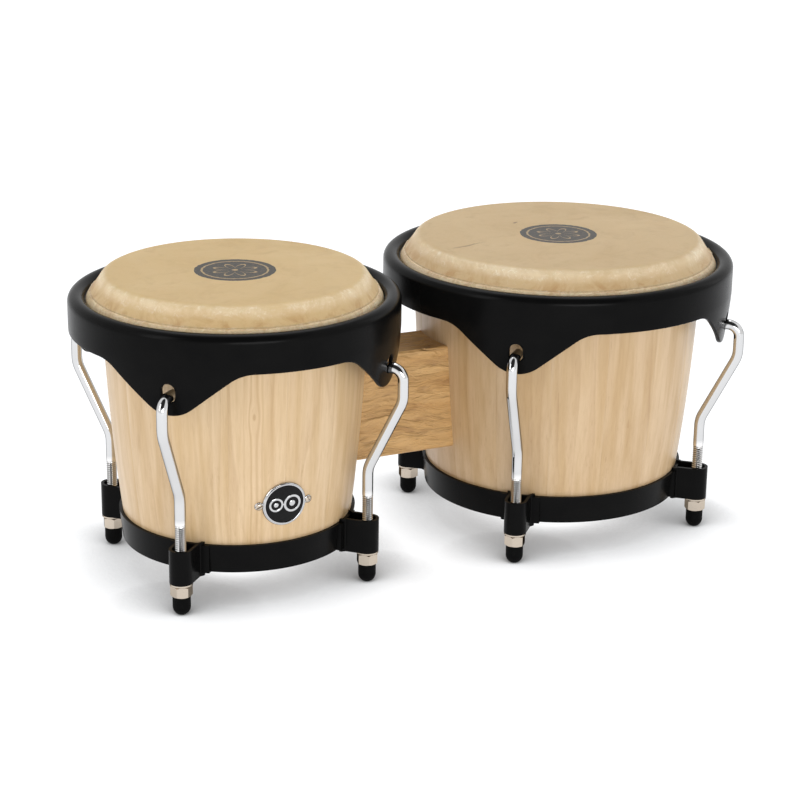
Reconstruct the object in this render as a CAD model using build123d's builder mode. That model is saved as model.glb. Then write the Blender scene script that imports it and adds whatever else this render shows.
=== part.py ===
from build123d import *
import os
from math import acos, atan2, cos, hypot, radians, sin, sqrt

os.makedirs("parts", exist_ok=True)

# Bongo drums: a small and a large drum held side by side by a wooden block.
# X runs along the pair, small drum on -X. Z is up, and the rubber tips stand on Z = 0.
# The origin is the centre of the footprint.

# ---- Driving dimensions, mm -------------------------------------------------------
centre_distance = 214.0
size_step = 11.5            # every radius of the large drum is this much larger
rim_radius = 96.0           # small drum, outside of the rim
large_turn = 2.5            # the large drum sits turned on the block, degrees
lug_angles = {"back_right": 45, "back_left": 135, "front_left": 225, "front_right": 315}

head_top = 180.7
hide_thickness = 1.0

# Shell of the small drum: outside face through three points (radius, height)
shell_foot_radius, shell_foot_z = 65.8, 23.5
shell_waist_radius, shell_waist_z = 72.8, 88.0
shell_edge_radius, shell_edge_z = 77.1, head_top - hide_thickness
stave_thickness = 9.5
bearing_round = 5.0
bearing_bevel = 3.0
glue_line = 0.03            # degrees
small_staves, large_staves = 14, 16

# Flesh hoop and the hide rolled round it
hoop_radius, hoop_z = 81.5, 164.6
hoop_wire = 2.9
wrap_inside, wrap_outside = 3.1, 4.2
collar_gap = 0.05

# Rim
rim_sheet = 2.4
roll_radius = 5.0
roll_z = 164.7
roll_sweep = 165            # degrees, from the band over the top to the lip
band_z = 147.8              # lower edge between the tabs
tab_tip_z = 121.7
tab_nose_radius = 21.0
tab_flank_angle = 38.5
tab_cove_radius = 20.0
tab_lean = 3.0              # the tabs lean in by this much at their tips
slot_width, slot_length, slot_z = 8.2, 11.0, 135.1

# Tuning rods
rod_radius = 3.175
hook_z = 132.9
hook_end_radius = 87.5
hook_bend = 7.0
upper_rod_radius = 102.9    # distance of the rod's upper run from the drum's axis
upper_elbow_z = 113.4
lug_radius = 82.0           # distance of the threaded run from the drum's axis
lower_elbow_z = 70.5
elbow_bend = 16.0
rod_end_z = 6.8

# Bottom ring and ears
ring_z, ring_top_z = 21.5, 38.2
ring_foot_radius, ring_brow_radius = 68.1, 69.8
ring_lip_radius = 60.5
ear_z, ear_top_z = 19.4, 39.6
ear_radius = 6.8
ear_sheet = 1.8
ear_flare = 8.4             # half width where the legs turn into their tails
ear_turn = 2.0              # depth of that turn
ear_tail = 11.8             # half width over the tails welded to the ring
ear_tail_sheet = 1.1

# Washers, nuts and rubber tips
washer_radius, washer_thickness = 6.6, 1.4
clearance_radius = 3.5
nut_flat = 11.1
nut_z, nut_top_z = 11.2, 17.95
nut_chamfer = 1.2
thread_fit = 0.05
spigot_radius, spigot_z = 4.1, 6.5
tip_radius, tip_centre_z = 5.2, 4.9
tip_bore_z = 2.6

# Block, bolts, washers and inserts
block_z, block_top_z = 59.7, 124.2
block_half_width = 18.55
block_bevel = 1.2
bolt_heights = {"lower": 76.0, "upper": 108.0}
bolt_radius = 3.0
bolt_head_radius, bolt_head_height = 5.4, 4.2
bolt_reach = 19.0           # length of bolt inside the block
seat_radius, seat_depth = 9.0, 1.2
bolt_washer_radius, bolt_washer_thickness = 8.0, 1.5
bolt_clearance_radius = 3.3
insert_radius, insert_length = 4.5, 16.0
insert_setback = 2.0

# Badge
badge_z = 62.0
badge_radius = 13.2
badge_inlay_radius = 11.5
badge_thickness = 1.6
badge_floor = 0.7
badge_screw_offset = 15.1
badge_offsets = (-badge_screw_offset, badge_screw_offset)
badge_ear_radius = 2.4
badge_screw_radius = 1.1
badge_screw_head_radius, badge_screw_head_height = 2.1, 0.9
badge_screw_length = 6.0

large_rim_radius = rim_radius + size_step
overall_length = rim_radius + centre_distance + large_rim_radius
small_x = rim_radius - overall_length / 2
large_x = overall_length / 2 - large_rim_radius


def section(x, angle):
    """Upright plane through a drum's axis: local X outwards, local Y up."""
    a = radians(angle)
    return Plane(origin=(x, 0, 0), x_dir=(cos(a), sin(a), 0), z_dir=(sin(a), -cos(a), 0))


def facing(x, angle):
    """Upright plane at a drum's axis looking outwards: local Y up."""
    a = radians(angle)
    return Plane(origin=(x, 0, 0), x_dir=(-sin(a), cos(a), 0), z_dir=(cos(a), sin(a), 0))


def lug_plane(x, angle, radius, z):
    """Level plane centred on a lug, local X pointing outwards."""
    a = radians(angle)
    origin = (x + radius * cos(a), radius * sin(a), z)
    return Plane(origin=origin, x_dir=(cos(a), sin(a), 0), z_dir=(0, 0, 1))


def drum_axis(x):
    return Axis((x, 0, 0), (0, 0, 1))


def lug_axis(x, angle, radius):
    a = radians(angle)
    return Axis((x + radius * cos(a), radius * sin(a), 0), (0, 0, 1))


def shell_centre():
    """Centre and radius, in the section plane, of the arc of the shell's outside face."""
    ax, ay = shell_foot_radius, shell_foot_z
    bx, by = shell_waist_radius, shell_waist_z
    cx, cy = shell_edge_radius, shell_edge_z
    d = 2 * (ax * (by - cy) + bx * (cy - ay) + cx * (ay - by))
    a2, b2, c2 = ax**2 + ay**2, bx**2 + by**2, cx**2 + cy**2
    ux = (a2 * (by - cy) + b2 * (cy - ay) + c2 * (ay - by)) / d
    uy = (a2 * (cx - bx) + b2 * (ax - cx) + c2 * (bx - ax)) / d
    return ux, uy, sqrt((ax - ux) ** 2 + (ay - uy) ** 2)


def shell_radius(z, grow):
    """Outside radius of a shell at a height."""
    ux, uy, r = shell_centre()
    return ux + sqrt(r**2 - (z - uy) ** 2) + grow


def export(built, name):
    built.part.label = name
    export_step(built.part, f"parts/{name}.step")


def shell_core(x, grow, clearance):
    """The space a shell's outside face encloses, for fitting other pieces to it."""
    foot = shell_foot_radius + grow + clearance
    waist = shell_waist_radius + grow + clearance
    edge = shell_edge_radius + grow + clearance
    with BuildPart() as core:
        with BuildSketch(section(x, 0)):
            with BuildLine():
                Line((0, shell_foot_z), (foot, shell_foot_z))
                ThreePointArc((foot, shell_foot_z), (waist, shell_waist_z), (edge, shell_edge_z))
                Line((edge, shell_edge_z), (0, shell_edge_z))
                Line((0, shell_edge_z), (0, shell_foot_z))
            make_face()
        revolve(axis=drum_axis(x))
    return core


def build_shell(drum, x, grow, turn, staves, block_angle, screw_offsets):
    """Staves glued edge to edge, bored for the block bolts and the badge screws."""
    pitch = 360 / staves
    foot, edge = shell_foot_radius + grow, shell_edge_radius + grow
    waist = shell_waist_radius + grow
    inner_foot, inner_edge = foot - stave_thickness, edge - stave_thickness
    crown = edge - bearing_round
    with BuildPart() as shell:
        for stave in range(staves):
            with BuildSketch(section(x, turn + (stave - 0.5) * pitch)):
                with BuildLine():
                    Line((inner_foot, shell_foot_z), (foot, shell_foot_z))
                    ThreePointArc((foot, shell_foot_z), (waist, shell_waist_z), (edge, shell_edge_z))
                    Line((edge, shell_edge_z), (inner_edge, shell_edge_z))
                    ThreePointArc(
                        (inner_edge, shell_edge_z),
                        (waist - stave_thickness, shell_waist_z),
                        (inner_foot, shell_foot_z),
                    )
                make_face()
                # bearing edge: rounded outside, bevelled inside
                with BuildLine():
                    Line((crown, shell_edge_z), (edge + 1, shell_edge_z))
                    Line((edge + 1, shell_edge_z), (edge + 1, shell_edge_z - bearing_round))
                    Line((edge + 1, shell_edge_z - bearing_round), (edge, shell_edge_z - bearing_round))
                    RadiusArc(
                        (edge, shell_edge_z - bearing_round), (crown, shell_edge_z), -bearing_round
                    )
                make_face(mode=Mode.SUBTRACT)
                with BuildLine():
                    Polyline(
                        (inner_edge - 1, shell_edge_z + 1),
                        (inner_edge - 1, shell_edge_z - bearing_bevel - 1),
                        (inner_edge + bearing_bevel + 1, shell_edge_z + 1),
                        close=True,
                    )
                make_face(mode=Mode.SUBTRACT)
            revolve(axis=drum_axis(x), revolution_arc=pitch - glue_line)
        for z in bolt_heights.values():
            seat = shell_radius(z, grow) - stave_thickness + seat_depth
            with BuildSketch(facing(x, block_angle)):
                with Locations((0, z)):
                    Circle(seat_radius)
            extrude(amount=seat, mode=Mode.SUBTRACT)
            with BuildSketch(facing(x, block_angle)):
                with Locations((0, z)):
                    Circle(bolt_clearance_radius)
            extrude(amount=edge + 5, mode=Mode.SUBTRACT)
        for offset in screw_offsets:
            with BuildSketch(facing(x, -90).offset(badge_seat() - badge_screw_length)):
                with Locations((offset, badge_z)):
                    Circle(badge_screw_radius)
            extrude(amount=badge_screw_length + 5, mode=Mode.SUBTRACT)
    export(shell, f"{drum}_shell")


def build_head(drum, x, grow):
    """Rawhide: flat skin over the bearing edge, stretched down in a skirt to the turns round the hoop."""
    crown = shell_edge_radius + grow - bearing_round
    hoop = hoop_radius + grow
    shoulder_z = shell_edge_z - bearing_round
    inner_bend = bearing_round + collar_gap
    outer_bend = inner_bend + hide_thickness
    skin_z, top_z = shoulder_z + inner_bend, shoulder_z + outer_bend
    # direction square to the skirt, which touches both the bend and the outermost turn
    run, fall = hoop - crown, hoop_z - shoulder_z
    square = atan2(fall, run) + acos((outer_bend - wrap_outside) / hypot(run, fall))

    def bend_point(radius):
        return crown + radius * cos(square), shoulder_z + radius * sin(square)

    def turn_point(radius):
        return hoop + radius * cos(square), hoop_z + radius * sin(square)

    with BuildPart() as head:
        with BuildSketch(section(x, 0)):
            with BuildLine():
                Line((0, skin_z), (crown, skin_z))
                RadiusArc((crown, skin_z), bend_point(inner_bend), inner_bend)
                Line(bend_point(inner_bend), turn_point(wrap_outside - hide_thickness))
                Line(turn_point(wrap_outside - hide_thickness), turn_point(wrap_outside))
                Line(turn_point(wrap_outside), bend_point(outer_bend))
                RadiusArc(bend_point(outer_bend), (crown, top_z), -outer_bend)
                Line((crown, top_z), (0, top_z))
                Line((0, top_z), (0, skin_z))
            make_face()
            with Locations((hoop, hoop_z)):
                Circle(wrap_outside)
            with Locations((hoop, hoop_z)):
                Circle(wrap_inside, mode=Mode.SUBTRACT)
            # the hide's free edge stops short of closing the turn, low on the outside
            with BuildLine():
                Polyline(
                    (hoop, hoop_z),
                    (hoop + 3.2, hoop_z - 8),
                    (hoop + 8, hoop_z - 4.5),
                    close=True,
                )
            make_face(mode=Mode.SUBTRACT)
        revolve(axis=drum_axis(x))
    export(head, f"{drum}_head")


def build_hoop(drum, x, grow):
    with BuildPart() as hoop:
        with BuildSketch(section(x, 0)):
            with Locations((hoop_radius + grow, hoop_z)):
                Circle(hoop_wire)
        revolve(axis=drum_axis(x))
    export(hoop, f"{drum}_flesh_hoop")


def tab_outline():
    """One tab, drawn flat: round nose, straight flanks, coves running into the band."""
    a = radians(tab_flank_angle)
    nose_x = tab_nose_radius * sin(a)
    nose_z = tab_tip_z + tab_nose_radius * (1 - cos(a))
    cove_z = band_z - tab_cove_radius * (1 - cos(a))
    cove_x = nose_x + (cove_z - nose_z) * cos(a) / sin(a)
    end_x = cove_x + tab_cove_radius * sin(a)
    root_z = band_z + 4
    with BuildSketch() as outline:
        with BuildLine():
            ThreePointArc((-nose_x, nose_z), (0, tab_tip_z), (nose_x, nose_z))
            Line((nose_x, nose_z), (cove_x, cove_z))
            RadiusArc((cove_x, cove_z), (end_x, band_z), tab_cove_radius)
            Line((end_x, band_z), (end_x, root_z))
            Line((end_x, root_z), (-end_x, root_z))
            Line((-end_x, root_z), (-end_x, band_z))
            RadiusArc((-end_x, band_z), (-cove_x, cove_z), tab_cove_radius)
            Line((-cove_x, cove_z), (-nose_x, nose_z))
        make_face()
    return outline.sketch


def build_rim(drum, x, grow, turn):
    """Pressed band with a rolled top edge and four pointed tabs, each with a slot."""
    outside = rim_radius + grow
    inside = outside - rim_sheet
    roll_centre = outside - roll_radius
    bore = roll_radius - rim_sheet
    end = radians(roll_sweep)
    half = radians(roll_sweep / 2)
    lip_outer = (roll_centre + roll_radius * cos(end), roll_z + roll_radius * sin(end))
    lip_inner = (roll_centre + bore * cos(end), roll_z + bore * sin(end))
    roll_top = (roll_centre + roll_radius * cos(half), roll_z + roll_radius * sin(half))
    bore_top = (roll_centre + bore * cos(half), roll_z + bore * sin(half))

    with BuildPart() as tabs:
        for angle in lug_angles.values():
            with BuildSketch(facing(x, turn + angle)):
                add(tab_outline())
            extrude(amount=outside + 5)
        with BuildSketch(section(x, 0)):
            with BuildLine():
                Polyline(
                    (inside - tab_lean, tab_tip_z),
                    (outside - tab_lean, tab_tip_z),
                    (outside, band_z),
                    (outside, band_z + 4),
                    (inside, band_z + 4),
                    (inside, band_z),
                    close=True,
                )
            make_face()
        revolve(axis=drum_axis(x), mode=Mode.INTERSECT)

    with BuildPart() as rim:
        with BuildSketch(section(x, 0)):
            with BuildLine():
                Line((outside, band_z), (outside, roll_z))
                ThreePointArc((outside, roll_z), roll_top, lip_outer)
                Line(lip_outer, lip_inner)
                ThreePointArc(lip_inner, bore_top, (inside, roll_z))
                Line((inside, roll_z), (inside, band_z))
                Line((inside, band_z), (outside, band_z))
            make_face()
        revolve(axis=drum_axis(x))
        add(tabs.part)
        for angle in lug_angles.values():
            with BuildSketch(facing(x, turn + angle)):
                with Locations((0, slot_z)):
                    SlotOverall(slot_length, slot_width, rotation=90)
            extrude(amount=outside + 5, mode=Mode.SUBTRACT)
    export(rim, f"{drum}_rim")


def build_rod(drum, x, grow, turn, lug):
    """J-hook: in through the rim's slot, down, bent in, and straight down to the nut."""
    angle = turn + lug_angles[lug]
    hook_end = hook_end_radius + grow
    upper = upper_rod_radius + grow
    lower = lug_radius + grow
    middle_z = (hook_z + upper_elbow_z) / 2
    with BuildPart() as rod:
        with BuildLine(section(x, angle)) as run:
            FilletPolyline((hook_end, hook_z), (upper, hook_z), (upper, middle_z), radius=hook_bend)
            FilletPolyline(
                (upper, middle_z),
                (upper, upper_elbow_z),
                (lower, lower_elbow_z),
                (lower, rod_end_z),
                radius=elbow_bend,
            )
        with BuildSketch(Plane(origin=run.wires()[0] @ 0, z_dir=run.wires()[0] % 0)):
            Circle(rod_radius)
        sweep()
        ends = rod.faces().filter_by(GeomType.PLANE)
        chamfer(ends.edges(), 0.5)
    export(rod, f"{drum}_rod_{lug}")


def ear_outline(root, radius, flare):
    """Plan of an ear: round at the rod, straight legs, a short turn at the band."""
    with BuildSketch() as outline:
        with BuildLine():
            Line((root - 3, flare), (root + 1, flare))
            Line((root + 1, flare), (root + 1 + ear_turn, radius))
            Line((root + 1 + ear_turn, radius), (0, radius))
            ThreePointArc((0, radius), (radius, 0), (0, -radius))
            Line((0, -radius), (root + 1 + ear_turn, -radius))
            Line((root + 1 + ear_turn, -radius), (root + 1, -flare))
            Line((root + 1, -flare), (root - 3, -flare))
            Line((root - 3, -flare), (root - 3, flare))
        make_face()
    return outline.sketch


def build_ring(drum, x, grow, turn):
    """Band round the shell's foot with a lip under it and four open-topped ears."""
    foot, brow = ring_foot_radius + grow, ring_brow_radius + grow
    lug = lug_radius + grow
    core = shell_core(x, grow, collar_gap)
    with BuildPart() as ring:
        for angle in lug_angles.values():
            with BuildSketch(lug_plane(x, turn + angle, lug, ear_z)):
                add(ear_outline(foot - lug, ear_radius, ear_flare))
            extrude(amount=ear_top_z - ear_z)
            with BuildSketch(lug_plane(x, turn + angle, 0, ring_z)):
                Circle(brow + ear_tail_sheet)
                with Locations((brow, 0)):
                    Rectangle(brow, 2 * ear_tail, mode=Mode.INTERSECT)
            extrude(amount=ring_top_z - ring_z)
        for angle in lug_angles.values():
            floor_plane = lug_plane(x, turn + angle, lug, ear_z + ear_sheet)
            with BuildSketch(floor_plane):
                add(ear_outline(foot - lug, ear_radius - ear_sheet, ear_flare - ear_sheet))
            extrude(amount=ear_top_z, mode=Mode.SUBTRACT)
        # ears stop at the band
        with BuildSketch(Plane.XY.offset(ear_z)):
            with Locations((x, 0)):
                Circle(foot)
        extrude(amount=ear_top_z, mode=Mode.SUBTRACT)
        with BuildSketch(section(x, 0)):
            with BuildLine():
                Polyline(
                    (ring_lip_radius + grow, ring_z),
                    (foot, ring_z),
                    (brow, ring_top_z),
                    (ring_lip_radius + grow, ring_top_z),
                    close=True,
                )
            make_face()
        revolve(axis=drum_axis(x))
        add(core.part, mode=Mode.SUBTRACT)
        for angle in lug_angles.values():
            with BuildSketch(lug_plane(x, turn + angle, lug, ear_z)):
                Circle(clearance_radius)
            extrude(amount=ear_sheet * 2, mode=Mode.SUBTRACT)
    export(ring, f"{drum}_bottom_ring")


def build_washers(drum, x, grow, turn):
    with BuildPart() as washers:
        for angle in lug_angles.values():
            plane = lug_plane(x, turn + angle, lug_radius + grow, ear_z - washer_thickness)
            with BuildSketch(plane):
                Circle(washer_radius)
                Circle(clearance_radius, mode=Mode.SUBTRACT)
            extrude(amount=washer_thickness)
        outer = washers.edges().filter_by(GeomType.CIRCLE)
        chamfer(outer.filter_by(lambda edge: abs(edge.radius - washer_radius) < 0.01), 0.25)
    export(washers, f"{drum}_washers")


def build_nut(drum, x, grow, turn, lug):
    """Hex nut with a round spigot below for the rubber tip."""
    angle = turn + lug_angles[lug]
    lug_at = lug_radius + grow
    corner = nut_flat / 2 / cos(radians(30))
    with BuildPart() as nut:
        with BuildSketch(lug_plane(x, angle, lug_at, nut_z)):
            RegularPolygon(nut_flat / 2, 6, major_radius=False)
        extrude(amount=nut_top_z - nut_z)
        # turned chamfers take the six corners off, top and bottom
        bevel = nut_chamfer * 0.58
        with BuildSketch(section(x, angle)):
            with BuildLine():
                Polyline(
                    (lug_at, nut_z),
                    (lug_at + corner - nut_chamfer, nut_z),
                    (lug_at + corner, nut_z + bevel),
                    (lug_at + corner, nut_top_z - bevel),
                    (lug_at + corner - nut_chamfer, nut_top_z),
                    (lug_at, nut_top_z),
                    close=True,
                )
            make_face()
        revolve(axis=lug_axis(x, angle, lug_at), mode=Mode.INTERSECT)
        with BuildSketch(lug_plane(x, angle, lug_at, spigot_z)):
            Circle(spigot_radius)
        extrude(amount=nut_z - spigot_z)
        with BuildSketch(lug_plane(x, angle, lug_at, spigot_z)):
            Circle(rod_radius + thread_fit)
        extrude(amount=nut_top_z, mode=Mode.SUBTRACT)
    export(nut, f"{drum}_nut_{lug}")


def build_tip(drum, x, grow, turn, lug):
    """Rubber tip: domed below, socket for the nut's spigot, bore for the rod's end."""
    angle = turn + lug_angles[lug]
    lug_at = lug_radius + grow
    with BuildPart() as tip:
        with BuildSketch(lug_plane(x, angle, lug_at, 0)):
            Circle(tip_radius)
        extrude(amount=nut_z)
        with BuildSketch(section(x, angle)):
            with Locations((lug_at, tip_centre_z)):
                Circle(tip_radius)
            with BuildLine():
                Polyline(
                    (lug_at - tip_radius, tip_centre_z),
                    (lug_at + tip_radius, tip_centre_z),
                    (lug_at + tip_radius, nut_z),
                    (lug_at - tip_radius, nut_z),
                    close=True,
                )
            make_face()
            with Locations((lug_at - tip_radius, nut_z / 2)):
                Rectangle(2 * tip_radius, 2 * nut_z, mode=Mode.SUBTRACT)
        revolve(axis=lug_axis(x, angle, lug_at), mode=Mode.INTERSECT)
        with BuildSketch(lug_plane(x, angle, lug_at, spigot_z)):
            Circle(spigot_radius)
        extrude(amount=nut_z, mode=Mode.SUBTRACT)
        with BuildSketch(lug_plane(x, angle, lug_at, tip_bore_z)):
            Circle(clearance_radius)
        extrude(amount=nut_z, mode=Mode.SUBTRACT)
    export(tip, f"{drum}_rubber_tip_{lug}")


def build_block():
    small_core = shell_core(small_x, 0, 0)
    large_core = shell_core(large_x, size_step, 0)
    middle_z = (block_z + block_top_z) / 2
    with BuildPart() as block:
        with BuildSketch(Plane.YZ.offset(small_x)):
            with Locations((0, middle_z)):
                Rectangle(2 * block_half_width, block_top_z - block_z)
        extrude(amount=centre_distance)
        chamfer(block.edges().filter_by(Axis.X), block_bevel)
        add(small_core.part, mode=Mode.SUBTRACT)
        add(large_core.part, mode=Mode.SUBTRACT)
        for x, grow, angle in ((small_x, 0, 0), (large_x, size_step, 180)):
            for z in bolt_heights.values():
                with BuildSketch(facing(x, angle)):
                    with Locations((0, z)):
                        Circle(insert_radius)
                reach = insert_setback + insert_length + 4
                extrude(amount=shell_radius(z, grow) + reach, mode=Mode.SUBTRACT)
    export(block, "centre_block")


def build_block_fixings(drum, x, grow, angle):
    """Bolts, flat washers and threaded inserts that hold the block to one shell."""
    with BuildPart() as bolts:
        for z in bolt_heights.values():
            skin = shell_radius(z, grow)
            seat = skin - stave_thickness + seat_depth
            head_face = seat - bolt_washer_thickness
            with BuildSketch(facing(x, angle).offset(head_face - bolt_head_height)):
                with Locations((0, z)):
                    Circle(bolt_head_radius)
            extrude(amount=bolt_head_height)
            with BuildSketch(facing(x, angle).offset(head_face - 1)):
                with Locations((0, z)):
                    Circle(bolt_radius)
            extrude(amount=skin + bolt_reach - head_face + 1)
            with BuildSketch(facing(x, angle).offset(head_face - bolt_head_height)):
                with Locations((0, z)):
                    RegularPolygon(2.5, 6, major_radius=False)
            extrude(amount=2.2, mode=Mode.SUBTRACT)
        rims = bolts.edges().filter_by(GeomType.CIRCLE)
        chamfer(rims.filter_by(lambda edge: abs(edge.radius - bolt_head_radius) < 0.01), 0.4)
    export(bolts, f"{drum}_block_bolts")

    with BuildPart() as washers:
        for z in bolt_heights.values():
            seat = shell_radius(z, grow) - stave_thickness + seat_depth
            with BuildSketch(facing(x, angle).offset(seat - bolt_washer_thickness)):
                with Locations((0, z)):
                    Circle(bolt_washer_radius)
                    Circle(bolt_clearance_radius, mode=Mode.SUBTRACT)
            extrude(amount=bolt_washer_thickness)
    export(washers, f"{drum}_block_washers")

    with BuildPart() as inserts:
        for z in bolt_heights.values():
            start = shell_radius(z, grow) + insert_setback
            with BuildSketch(facing(x, angle).offset(start)):
                with Locations((0, z)):
                    Circle(insert_radius)
                    Circle(bolt_radius, mode=Mode.SUBTRACT)
            extrude(amount=insert_length)
    export(inserts, f"{drum}_block_inserts")


def skin_layer(x, inner, outer):
    """Thin layer following the shell's outside face, from one height above it to another."""
    low, high = badge_z - 25, badge_z + 25
    with BuildPart() as layer:
        with BuildSketch(section(x, 0)):
            with BuildLine():
                Line((shell_radius(low, inner), low), (shell_radius(low, outer), low))
                ThreePointArc(
                    (shell_radius(low, outer), low),
                    (shell_radius(badge_z, outer), badge_z),
                    (shell_radius(high, outer), high),
                )
                Line((shell_radius(high, outer), high), (shell_radius(high, inner), high))
                ThreePointArc(
                    (shell_radius(high, inner), high),
                    (shell_radius(badge_z, inner), badge_z),
                    (shell_radius(low, inner), low),
                )
            make_face()
        revolve(axis=drum_axis(x))
    return layer


def badge_seat():
    """Distance from the drum's axis of the flat the badge screws' heads sit on."""
    face = shell_radius(badge_z, badge_thickness)
    return sqrt(face**2 - (badge_screw_offset + badge_screw_head_radius) ** 2) - 0.1


def build_badge(x):
    """Metal plate curved to the shell, with a sunk dark inlay and a screw through each ear."""
    front = -90
    plate_layer = skin_layer(x, collar_gap, badge_thickness)
    recess_layer = skin_layer(x, badge_floor, badge_thickness + 3)
    inlay_layer = skin_layer(x, badge_floor, badge_thickness - 0.3)

    with BuildPart() as recess:
        with BuildSketch(facing(x, front)):
            with Locations((0, badge_z)):
                Circle(badge_inlay_radius)
        extrude(amount=rim_radius)
        add(recess_layer.part, mode=Mode.INTERSECT)

    with BuildPart() as plate:
        with BuildSketch(facing(x, front)):
            with Locations((0, badge_z)):
                Circle(badge_radius)
            with Locations(*[(offset, badge_z) for offset in badge_offsets]):
                Circle(badge_ear_radius)
        extrude(amount=rim_radius)
        add(plate_layer.part, mode=Mode.INTERSECT)
        add(recess.part, mode=Mode.SUBTRACT)
        for offset in badge_offsets:
            with BuildSketch(facing(x, front)):
                with Locations((offset, badge_z)):
                    Circle(badge_screw_radius)
            extrude(amount=rim_radius, mode=Mode.SUBTRACT)
            with BuildSketch(facing(x, front).offset(badge_seat())):
                with Locations((offset, badge_z)):
                    Circle(badge_screw_head_radius + thread_fit)
            extrude(amount=badge_thickness * 2, mode=Mode.SUBTRACT)
    export(plate, "badge_plate")

    with BuildPart() as inlay:
        with BuildSketch(facing(x, front)):
            with Locations((0, badge_z)):
                Circle(badge_inlay_radius)
        extrude(amount=rim_radius)
        add(inlay_layer.part, mode=Mode.INTERSECT)
    export(inlay, "badge_inlay")

    with BuildPart() as screws:
        for offset in badge_offsets:
            with BuildSketch(facing(x, front).offset(badge_seat())):
                with Locations((offset, badge_z)):
                    Circle(badge_screw_head_radius)
            extrude(amount=badge_screw_head_height)
            with BuildSketch(facing(x, front).offset(badge_seat() - badge_screw_length)):
                with Locations((offset, badge_z)):
                    Circle(badge_screw_radius)
            extrude(amount=badge_screw_length)
        crowns = screws.faces().filter_by(Axis.Y).group_by(Axis.Y)[0]
        fillet(crowns.edges(), badge_screw_head_height * 0.8)
    export(screws, "badge_screws")


def build_drum(drum, x, grow, turn, staves, block_angle, screw_offsets):
    build_shell(drum, x, grow, turn, staves, block_angle, screw_offsets)
    build_head(drum, x, grow)
    build_hoop(drum, x, grow)
    build_rim(drum, x, grow, turn)
    build_ring(drum, x, grow, turn)
    build_washers(drum, x, grow, turn)
    for lug in lug_angles:
        build_rod(drum, x, grow, turn, lug)
        build_nut(drum, x, grow, turn, lug)
        build_tip(drum, x, grow, turn, lug)
    build_block_fixings(drum, x, grow, block_angle)


build_drum("small", small_x, 0, 0, small_staves, 0, badge_offsets)
build_drum("large", large_x, size_step, large_turn, large_staves, 180, ())
build_block()
build_badge(small_x)
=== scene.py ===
import bpy
import bmesh
import math
import numpy as np
from mathutils import Matrix, Vector
from math import cos, sin, pi, radians, sqrt


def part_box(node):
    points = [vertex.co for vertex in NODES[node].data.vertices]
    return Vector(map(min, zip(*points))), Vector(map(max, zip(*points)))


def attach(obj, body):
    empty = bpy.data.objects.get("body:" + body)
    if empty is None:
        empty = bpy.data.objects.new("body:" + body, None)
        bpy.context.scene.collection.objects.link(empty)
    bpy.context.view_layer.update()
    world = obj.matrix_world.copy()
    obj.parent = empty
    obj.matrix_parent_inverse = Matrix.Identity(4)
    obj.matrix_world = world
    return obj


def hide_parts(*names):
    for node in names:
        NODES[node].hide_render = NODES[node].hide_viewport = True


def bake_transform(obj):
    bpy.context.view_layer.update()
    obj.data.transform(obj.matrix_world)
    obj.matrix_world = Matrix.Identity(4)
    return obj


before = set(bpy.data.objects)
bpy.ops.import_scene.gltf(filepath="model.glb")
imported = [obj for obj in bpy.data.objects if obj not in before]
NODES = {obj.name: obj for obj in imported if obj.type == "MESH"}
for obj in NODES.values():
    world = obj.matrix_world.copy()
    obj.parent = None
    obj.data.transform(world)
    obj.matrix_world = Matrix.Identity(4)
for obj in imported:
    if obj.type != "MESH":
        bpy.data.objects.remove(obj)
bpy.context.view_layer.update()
rng = np.random.default_rng(7)
scene = bpy.context.scene

# Sizes are in metres. Radii are the small drum's, and the large drum adds its GROW to them.
LUGS = {"back_right": 45, "back_left": 135, "front_left": 225, "front_right": 315}    # degrees round a drum
TURN = {"small": 0.0, "large": 2.5}    # degrees that each drum is turned on the block
STAVES = {"small": 14, "large": 16}
BODY = {"small": "small_tension", "large": "large_tension"}
PITCH = 0.00127                # of the rods' thread
WALL = 0.0095                  # thickness of the staves
EDGE_R = 0.0771                # outer radius of the bearing edge
EDGE_ROUND = 0.005             # its rounding
HIDE = 0.001                   # thickness of the hide over it
BEND_R = EDGE_ROUND + HIDE     # outer radius of the hide's bend
HOOP_R, HOOP_Z = 0.0815, 0.1646
TURN_OUT, TURN_IN = 0.0042, 0.0031    # the hide's turn round the hoop, outside and inside
SHEET = 0.0024                 # thickness of the rim
ROLL_R, ROLL_Z, ROLL_SWEEP = 0.005, 0.1647, 165
BAND_TOP = 0.1535              # where the rim's flat side ends below the roll
TAB_TIP, BAND_Z = 0.1217, 0.1478      # lower edge of the rim at a tab and between the tabs
NOSE, COVE, FLANK = 0.021, 0.020, radians(38.5)
LEAN = 0.003                   # how far a tab's tip stands in from the band
LEAN_FROM = BAND_Z + 0.003     # height where the side starts to lean in
SLOT_W, SLOT_L, SLOT_Z = 0.0041, 0.0055, 0.1351    # half width, half length and height
ROD_R = 0.003175
THREAD_DEPTH = 0.00052
HOOK_R, HOOK_Z = 0.0875, 0.1329       # the rod's end inside the rim
ROD_UP, ROD_LOW = 0.1029, 0.082       # distance of its upper and lower run from the axis
ELBOW_UP, ELBOW_LOW = 0.1134, 0.0705
STAMP_R = 0.0243
KNOT_R, KNOT_ANGLE, KNOT_Z = 0.0745, radians(-104.5), 0.1165


def centre(node):
    lo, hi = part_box(node)
    return (lo + hi) / 2


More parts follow.
